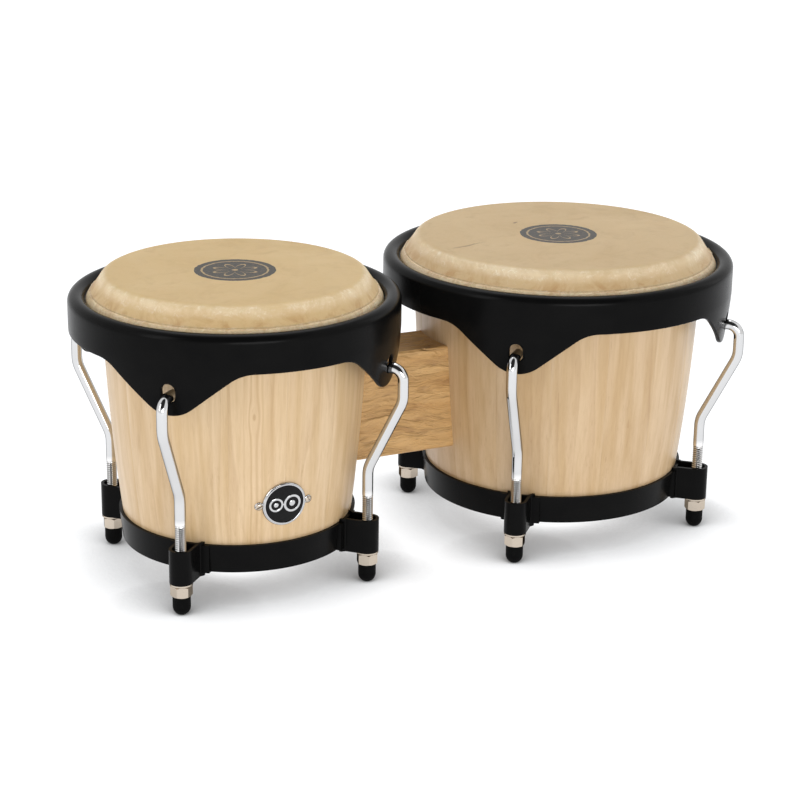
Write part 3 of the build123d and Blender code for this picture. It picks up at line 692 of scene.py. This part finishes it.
# start, end, half width, strength
MARKS = {"small": (), "large": (((-0.0811, -0.0074), (-0.0511, -0.0001), 0.0014, 0.50),
                                ((-0.0130, 0.0335), (-0.0085, 0.0360), 0.0012, 0.75))}
for d, tones in (("small", (rgb(197, 165, 108), rgb(207, 178, 126), rgb(160, 122, 72))),
                 ("large", (rgb(189, 160, 113), rgb(201, 174, 130), rgb(150, 115, 72)))):
    RAWHIDE[d] = rawhide(f"rawhide_{d}", AXIS[d], EDGE_R + GROW[d], STAMP_R, INK[d], *tones, MARKS[d])
FRAY = Mat("hide_fray", Roughness=0.6)
fray_tone = FRAY.noise(FRAY.coords(), 300, 3)
FRAY.l(FRAY.ramp(fray_tone, ((0.3, rgb(214, 186, 142)), (0.7, rgb(240, 226, 200)))), "Base Color")


# ---------------------------------------------------------------- rims
def tab_edge(x):
    """Height of the rim's lower edge at distance x along the band from a tab's centre."""
    x = abs(x)
    nx, nz = NOSE * sin(FLANK), TAB_TIP + NOSE * (1 - cos(FLANK))
    cz = BAND_Z - COVE * (1 - cos(FLANK))
    cx = nx + (cz - nz) / math.tan(FLANK)
    ex = cx + COVE * sin(FLANK)
    if x <= nx:
        return TAB_TIP + NOSE - sqrt(NOSE**2 - x**2)
    if x <= cx:
        return nz + (x - nx) * math.tan(FLANK)
    if x <= ex:
        return BAND_Z - COVE + sqrt(COVE**2 - (ex - x) ** 2)
    return BAND_Z


def slot_point(angle):
    """Point of a slot's outline in a direction from its centre."""
    tx, tz = cos(angle), sin(angle)
    straight = SLOT_L - SLOT_W
    if abs(tx) > 1e-6 and abs(tz / tx * SLOT_W) <= straight:
        return math.copysign(SLOT_W, tx), tz / abs(tx) * SLOT_W
    end = math.copysign(straight, tz)
    along = tz * end
    reach = along + sqrt(max(along**2 - end**2 + SLOT_W**2, 0))
    return tx * reach, tz * reach


def build_rim(d):
    """Sheet rim: two skins joined at the lip, the lower edge and the slots."""
    ax, R = AXIS[d], RIM_R[d]
    per = 96                       # columns per quarter turn
    cols = per * 4
    rows = 30                      # points of a skin below the roll
    soft = 0.0005                  # the lower edge is rounded over this height
    turn = radians(TURN[d] + 45)

    def wall_r(z, inner):
        t = max(0.0, (LEAN_FROM - z) / (LEAN_FROM - TAB_TIP))
        return R - LEAN * t ** 1.35 - (SHEET if inner else 0)

    def lower_edge(i):
        """Height of the lower edge at column i; column 0 is the middle of a tab."""
        k = (i + per // 2) % per - per // 2
        return tab_edge(R * sin(2 * pi * k / cols))

    def heights(i):
        start = lower_edge(i) + soft
        return [start + (BAND_TOP - start) * j / (rows - 1) for j in range(rows)]

    def high(inner):
        """The roll's skin from the flat side to the lip."""
        r0 = ROLL_R - SHEET if inner else ROLL_R
        pts = [(R - ROLL_R + r0, z) for z in np.linspace(BAND_TOP, ROLL_Z, 5)[1:-1]]
        return pts + arc(R - ROLL_R, ROLL_Z, r0, 0, ROLL_SWEEP, 18)

    verts, faces = [], []
    high_out, high_in = high(False), high(True)
    (r_out, z_out), (r_in, z_in) = high_out[-1], high_in[-1]
    lip = [((r_out * 2 + r_in) / 3 - 0.0001, (z_out * 2 + z_in) / 3 - 0.0003),
           ((r_out + 2 * r_in) / 3 - 0.0001, (z_out + 2 * z_in) / 3 - 0.0003)]
    for i in range(cols):
        a = turn + 2 * pi * i / cols
        low = lower_edge(i)
        mid = wall_r(low, False)
        loop = [(wall_r(z, False), z) for z in heights(i)] + high_out + lip + high_in[::-1]
        loop += [(wall_r(z, True), z) for z in reversed(heights(i))]
        loop += [(mid - SHEET + 0.0004, low + 0.0001), (mid - SHEET / 2, low), (mid - 0.0004, low + 0.0001)]
        verts += [[ax.x + r * cos(a), ax.y + r * sin(a), z] for r, z in loop]
    nl = len(loop)
    # slots: a patch of the grid round each slot is redrawn on both skins
    half = 7                       # columns of the patch at each side of the slot
    margin = SLOT_L + 0.0022
    j_lo = max(j for j, z in enumerate(heights(0)) if z < SLOT_Z - margin)
    j_hi = min(j for j, z in enumerate(heights(0)) if z > SLOT_Z + margin)
    inner_start = rows + len(high_out) + len(lip) + len(high_in)

    def vid(i, j, inner):
        """Index of the vertex in column i and row j of a skin."""
        return i % cols * nl + (inner_start + rows - 1 - j if inner else j)

    skip = set()
    for q in range(4):
        c0 = q * per
        for inner in (False, True):
            for i in range(c0 - half, c0 + half):
                for j in range(j_lo, j_hi):
                    jj = inner_start + rows - 2 - j if inner else j
                    skip.add((i % cols, jj))
    for i in range(cols):
        b = (i + 1) % cols
        for j in range(nl):
            if (i, j) in skip:
                continue
            k = (j + 1) % nl
            faces.append((i * nl + j, b * nl + j, b * nl + k, i * nl + k))
    for q in range(4):
        c0 = q * per
        mid_a = turn + 2 * pi * q / 4
        border = [(i, j_lo) for i in range(-half, half)] + [(half, j) for j in range(j_lo, j_hi)]
        border += [(i, j_hi) for i in range(half, -half, -1)] + [(-half, j) for j in range(j_hi, j_lo, -1)]
        rings = {}
        for inner in (False, True):
            loops = [[vid(c0 + i, j, inner) for i, j in border]]
            targets = []
            for v in loops[0]:
                p = verts[v]
                da = math.atan2(p[1] - ax.y, p[0] - ax.x) - mid_a
                da = (da + pi) % (2 * pi) - pi
                x, z = R * da, p[2] - SLOT_Z
                targets.append((x, z, *slot_point(math.atan2(z, x))))
            for step in (0.45, 0.8, 0.93, 1.0):
                loop = []
                for (x, z, sx, sz) in targets:
                    px, pz = x + (sx - x) * step, z + (sz - z) * step
                    a = mid_a + px / R
                    zz = pz + SLOT_Z
                    r = wall_r(zz, inner)
                    if step == 1.0:
                        r += 0.0004 if inner else -0.0004
                    loop.append(len(verts))
                    verts.append([ax.x + r * cos(a), ax.y + r * sin(a), zz])
                loops.append(loop)
            for la, lb in zip(loops, loops[1:]):
                n = len(la)
                for t in range(n):
                    u = (t + 1) % n
                    faces.append((la[t], la[u], lb[u], lb[t]))
            rings[inner] = loops[-1]
        n = len(rings[True])
        for t in range(n):
            u = (t + 1) % n
            faces.append((rings[False][t], rings[False][u], rings[True][u], rings[True][t]))
    ob = new_mesh(f"{d}_pressed_rim", verts, faces)
    fix(ob)
    smooth_by_angle(ob, 50)
    put(ob, BODY[d], COAT, "black_coat", f"{d}_rim")


# ---------------------------------------------------------------- rods, nuts, tips
def fillet_path(points, radii, step=0.0012):
    """Points along a polyline with rounded corners."""
    out = [Vector(points[0])]
    for i in range(1, len(points) - 1):
        p, a, b = Vector(points[i]), Vector(points[i - 1]), Vector(points[i + 1])
        u, v = (a - p).normalized(), (b - p).normalized()
        half = u.angle(v) / 2
        r = radii[i - 1]
        cut = r / math.tan(half)
        c = p + (u + v).normalized() * (r / sin(half))
        s, e = p + u * cut, p + v * cut
        n = max(6, int(r * (pi - 2 * half) / step))
        for k in range(n + 1):
            t = k / n
            ds, de = (s - c).normalized(), (e - c).normalized()
            out.append(c + ds.slerp(de, t) * r)
    out.append(Vector(points[-1]))
    return out


def build_rod(d, lug):
    g, ax = GROW[d], AXIS[d]
    a = radians(TURN[d] + LUGS[lug])
    up, low = ROD_UP + g, ROD_LOW + g
    z_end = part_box(f"{d}_rod_{lug}")[0].z
    thread_top = 0.0548 + rng.uniform(-0.0008, 0.0016)

    def spot(r, z):
        return Vector((ax.x + r * cos(a), ax.y + r * sin(a), z))

    corners = ((HOOK_R + g, HOOK_Z), (up, HOOK_Z), (up, ELBOW_UP), (low, ELBOW_LOW), (low, thread_top))
    path = fillet_path([spot(r, z) for r, z in corners], [0.007, 0.017, 0.017])
    rings_per_turn = 10
    n_thread = int((thread_top - z_end) / PITCH * rings_per_turn)
    zs = np.linspace(thread_top, z_end, n_thread + 1)[1:]
    smooth_count = len(path)
    path += [spot(low, z) for z in zs]
    total = len(path)

    def radius(i, ang):
        """Bevelled ends, a smooth bar and a helical groove below it."""
        if i == 0:
            return ROD_R - 0.0005
        if i < smooth_count:
            return ROD_R
        if i >= total - 2:
            return ROD_R - (0.0007 if i == total - 1 else 0.0005)
        z = path[i].z
        ph = ((z / PITCH) + ang / (2 * pi)) % 1.0
        tri = abs(ph * 2 - 1)
        fade = min(1.0, (i - smooth_count) / 18)
        return ROD_R - THREAD_DEPTH * fade * min(1.0, max(0.0, 1.25 * tri - 0.1))

    def groove_share(v):
        """How deep in the thread's groove a vertex lies, 0 to 1."""
        if v.co.z >= thread_top:
            return 0.0
        return max(0.0, ROD_R - math.hypot(v.co.x - foot.x, v.co.y - foot.y)) / THREAD_DEPTH

    ob = tube(f"{d}_hook_rod_{lug}", path, radius, 28)
    fix(ob)
    foot = spot(low, 0.0)
    deep = [groove_share(v) for v in ob.data.vertices]
    groove = ob.data.attributes.new("groove", "FLOAT", "POINT")
    groove.data.foreach_set("value", np.array(deep, np.float32))
    smooth_by_angle(ob, 40)
    put(ob, BODY[d], ROD_MAT, "chrome", f"{d}_rod_{lug}")


def rod_material():
    """Chrome, rougher along the thread, with a painted highlight on the thread's crests and painted shade
    down in its groove.
    """
    m = Mat("chrome_rod", Metallic=1.0)
    c = m.coords()
    z = m.n("SeparateXYZ", {0: c}).outputs[2]
    thread = m.ramp(m.n("MapRange", {0: z, 1: 0.0575, 2: 0.0545}).outputs[0], ((0.0, 0.0), (1.0, 1.0)))
    groove = m.n("Attribute", attribute_name="groove").outputs["Fac"]
    bar = m.mix(m.noise(c, 60, 3), (0.64, 0.64, 0.64, 1), (0.70, 0.70, 0.705, 1))
    # painted highlight on the thread's crests and painted shade down in its groove
    cut = m.mix(m.math("MULTIPLY", groove, 1.0, clamp=True), (0.92, 0.91, 0.90, 1), (0.34, 0.335, 0.33, 1))
    m.l(m.mix(thread, bar, cut), "Base Color")
    m.l(m.add(m.mul_add(m.noise(c, 120, 3), 0.03, 0.04), m.mul(thread, 0.13)), "Roughness")
    m.l(m.bump(m.noise(m.stretch(c, (150, 150, 30)), 1.0, 2), 0.03, 0.00002), "Normal")
    m.b.inputs["Specular Tint"].default_value = (0.12, 0.12, 0.12, 1)
    return m


ROD_MAT = rod_material()


def build_tip(d, lug):
    node = f"{d}_rubber_tip_{lug}"
    lo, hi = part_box(node)
    ax = (lo + hi) / 2
    r = (hi.x - lo.x) / 2
    lip, bore, seat_z = 0.0005, 0.0041, 0.0065
    prof = [(0.0, 0.0), (0.0010, 0.0)] + arc(0, 0.0049, 0.0052, -69.5, 0, 14)
    prof += [(r, z) for z in np.linspace(0.0058, hi.z - 0.0006, 6)]
    prof += arc(r - lip, hi.z - lip, lip, 20, 90, 4)
    prof += [(0.0042, hi.z), (bore, hi.z - lip), (bore, seat_z)]
    prof += [(0.0035, seat_z), (0.0035, 0.0026), (0.0, 0.0026)]
    ob = lathe(f"{node}_moulded", ax, prof, 56)
    fix(ob)
    smooth_by_angle(ob, 45)
    put(ob, f"{d}_tuner_{lug}", RUBBER, "rubber", node)


for d in ("small", "large"):
    build_shell(d)
    build_head(d)
    build_rim(d)
    for lug in LUGS:
        build_rod(d, lug)
        build_tip(d, lug)
        dress(bevel(NODES[f"{d}_nut_{lug}"], 0.0002, 2, 25), NICKEL)
    dress(bevel(NODES[f"{d}_washers"], 0.00015), NICKEL)
    dress(bevel(NODES[f"{d}_bottom_ring"], 0.0005, 3, 40), COAT)
    dress(bevel(NODES[f"{d}_flesh_hoop"], 0.0001), STEEL)
    dress(bevel(NODES[f"{d}_block_bolts"], 0.0003), STEEL)
    dress(bevel(NODES[f"{d}_block_washers"], 0.00015), STEEL)
    dress(bevel(NODES[f"{d}_block_inserts"], 0.0002), BRASS)


# ---------------------------------------------------------------- block and badge
dress(bevel(NODES["centre_block"], 0.0007, 3, 40), BLOCK_WOOD)
BADGE_Z = centre("badge_plate").z
BADGE_R = (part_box("badge_plate")[1].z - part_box("badge_plate")[0].z) / 2
SCREW_R = 0.0021
SCREWS = [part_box("badge_screws")[0].x - AXIS["small"].x + SCREW_R,
          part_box("badge_screws")[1].x - AXIS["small"].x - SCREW_R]


def on_badge(x, z, h):
    """Point at height h over the small shell's front, x and z measured from the badge's centre."""
    r = shell_r(BADGE_Z + z) + h
    return AXIS["small"].x + x, AXIS["small"].y - sqrt(r * r - x * x), BADGE_Z + z


def round_relief(name, centre_x, profile, mat, slot, nodes=(), n=96, cut=None):
    """Turned relief wrapped onto the shell; profile lists (radius, height)."""
    verts = []
    for i in range(n):
        t = 2 * pi * i / n
        for r, h in profile:
            u, v = r * cos(t), r * sin(t)
            verts.append(on_badge(centre_x + u, v, cut(u, v, h) if cut else h))
    ob = new_mesh(name, verts, grid_faces(n, len(profile), close_u=True, close_v=profile[0][0] > 1e-6))
    fix(ob)
    smooth_by_angle(ob, 45)
    put(ob, "drums", mat, slot, *nodes)


def build_badge():
    """Chrome bezel with two lugs, gloss black face, slotted screws and a plain drum-pair emblem."""
    inlay = BADGE_R - 0.0017
    moulding = ((0.0, 0.0007), (0.0, 0.00125), (0.0002, 0.00150), (0.0005, 0.00158), (0.0008, 0.00150),
                (0.00095, 0.00120), (0.0011, 0.00120), (0.0013, 0.00128), (0.0016, 0.00100))
    bezel = [(inlay + out, h) for out, h in moulding]
    bezel += [(BADGE_R, 0.00060), (BADGE_R, 0.0001), (inlay, 0.0001)]
    round_relief("badge_bezel", 0.0, bezel, CHROME, "chrome", ("badge_plate",), 128)
    face = [(0.0001, 0.00125)]
    face += [(inlay * t, 0.00125 - 0.00028 * t * t) for t in (0.2, 0.4, 0.6, 0.8, 0.95, 1.0)]
    face += [(inlay, 0.0007), (0.0001, 0.0007)]
    round_relief("badge_face", 0.0, face, BADGE_BLACK, "badge_black", ("badge_inlay",), 96)
    for i, x in enumerate(SCREWS):
        lug = [(0.0001, 0.0009), (0.0017, 0.0009), (0.0021, 0.0008),
               (0.0024, 0.0005), (0.0024, 0.0001), (0.0001, 0.0001)]
        round_relief(f"badge_lug_{i}", x, lug, CHROME, "chrome", (), 48)
        tilt = (0.5, 2.2)[i]

        def slot_cut(u, v, h, tilt=tilt):
            return h - 0.0007 if abs(u * sin(tilt) - v * cos(tilt)) < 0.00032 and h > 0.0009 else h

        dome = [(0.0001, 0.0019)]
        dome += [(0.0020 * sin(a), 0.0010 + 0.0009 * cos(a)) for a in np.linspace(0.12, 1.5, 14)]
        dome += [(0.0020, 0.0008), (0.0001, 0.0008)]
        replaced = ("badge_screws",) if i == 0 else ()
        round_relief(f"badge_screw_{i}", x, dome, NICKEL, "steel", replaced, 72, slot_cut)
    # emblem: a pair of drum heads joined by a bar, raised and plated; side of the middle line, height
    raised = ((-1, 0.0008), (-1, 0.0014), (-0.5, 0.00155), (0.5, 0.00155), (1, 0.0014), (1, 0.0008))
    bar_half = 0.0006
    rings = ((-0.0054, 0.0036, 0.00055), (0.0044, 0.0046, 0.00065))
    for k, (cx, r, half) in enumerate(rings):
        ring = [(r + side * half, h) for side, h in raised]
        dot = [(0.0001, 0.00155), (r * 0.30, 0.00152), (r * 0.38, 0.0013)]
        dot += [(r * 0.38, 0.0008), (0.0001, 0.0008)]
        round_relief(f"badge_emblem_ring_{k}", cx, ring, CHROME, "chrome", (), 64)
        round_relief(f"badge_emblem_dot_{k}", cx, dot, CHROME, "chrome", (), 64)
    bar = []
    xs = (rings[0][0] + rings[0][1] + 0.0003, rings[1][0] - rings[1][1] - 0.0003)
    for x in np.linspace(*xs, 4):
        bar += [on_badge(x, side * bar_half, h) for side, h in raised]
    ob = new_mesh("badge_emblem_bar", bar, grid_faces(4, 6, close_v=True))
    fix(ob)
    put(ob, "drums", CHROME, "chrome")


build_badge()


# ---------------------------------------------------------------- floor, light, camera
def build_floor():
    lines = np.linspace(-20, 20, 41)
    verts = [(x, y, 0.0) for x in lines for y in lines]
    ob = new_mesh("floor", verts, grid_faces(len(lines), len(lines)))
    m = Mat("floor_glow_white", Roughness=0.75)
    greys = ((0.3, (0.216, 0.218, 0.221, 1)), (0.7, (0.224, 0.226, 0.229, 1)))
    pale = m.ramp(m.noise(m.coords(), 3, 3), greys)
    m.l(pale, "Base Color")
    # The floor glows as painted light, and the occlusion dims the glow into a painted shadow. The occlusion
    # leans to the front, so the painted shadow lies under and behind the drums.
    lean = m.n("CombineXYZ", {"X": -0.495, "Y": -0.979, "Z": 1.0}).outputs[0]
    shadow_occlusion = m.n("AmbientOcclusion", {"Distance": 0.045, "Normal": lean}, samples=12).outputs["AO"]
    m.l(pale, "Emission Color")
    m.l(m.mul(m.power(shadow_occlusion, 3.0), 4.25), "Emission Strength")
    m.b.inputs["Specular IOR Level"].default_value = 0.1
    dress(ob, m)


build_floor()


def area(name, place, size, power):
    """Rectangular light turned to the drums."""
    light = bpy.data.lights.new(name, "AREA")
    light.shape = "RECTANGLE"
    light.size, light.size_y = size
    light.energy = power
    ob = bpy.data.objects.new(name, light)
    ob.location = place
    ob.rotation_euler = (Vector((0, 0, 0.1)) - Vector(place)).to_track_quat("-Z", "Y").to_euler()
    scene.collection.objects.link(ob)


area("strip_left", (-1.75, -0.35, 1.05), (0.45, 1.2), 6.0)
area("strip_right", (1.85, 0.05, 0.95), (0.45, 1.2), 1.2)
area("front_soft", (-0.45, -2.2, 0.60), (1.3, 0.7), 17.0)
area("top_back", (0.35, 0.95, 1.9), (1.4, 1.2), 12.0)


def build_world():
    """White surroundings with one dark patch, high above the front left."""
    world = bpy.data.worlds.new("studio")
    scene.world = world
    world.use_nodes = True
    tree = world.node_tree
    background = tree.nodes["Background"]
    background.inputs["Strength"].default_value = 0.92
    direction = tree.nodes.new("ShaderNodeTexCoord")
    towards = tree.nodes.new("ShaderNodeVectorMath")
    towards.operation = "DOT_PRODUCT"
    towards.inputs[1].default_value = (-0.267, -0.535, 0.802)
    shade = tree.nodes.new("ShaderNodeValToRGB")
    outside, inside = shade.color_ramp.elements
    outside.position, outside.color = 0.755, (1, 1, 1, 1)
    inside.position, inside.color = 0.815, (0.03, 0.03, 0.03, 1)
    tree.links.new(direction.outputs["Generated"], towards.inputs[0])
    tree.links.new(towards.outputs["Value"], shade.inputs[0])
    tree.links.new(shade.outputs[0], background.inputs["Color"])


build_world()

scene.view_settings.view_transform = "Standard"
scene.view_settings.look = "None"
scene.view_settings.exposure = 0.0

CAMERA_PLACE = (-0.57723, -1.14961, 0.51723)
YAW, PITCH_DOWN, ROLL = radians(26.43), radians(18.51), 0.01387
LENS = 100.26


def build_camera():
    """The camera solved from the photo."""
    data = bpy.data.cameras.new("camera")
    data.sensor_width = 36
    data.lens = LENS
    cam = bpy.data.objects.new("camera", data)
    scene.collection.objects.link(cam)
    forward = Vector((sin(YAW) * cos(PITCH_DOWN), cos(YAW) * cos(PITCH_DOWN), -sin(PITCH_DOWN)))
    level = Vector((cos(YAW), -sin(YAW), 0))
    upright = level.cross(forward)
    right = level * cos(ROLL) + upright * sin(ROLL)
    up = upright * cos(ROLL) - level * sin(ROLL)
    turn = Matrix((right, up, -forward)).transposed()
    cam.matrix_world = Matrix.Translation(CAMERA_PLACE) @ turn.to_4x4()
    scene.camera = cam


build_camera()
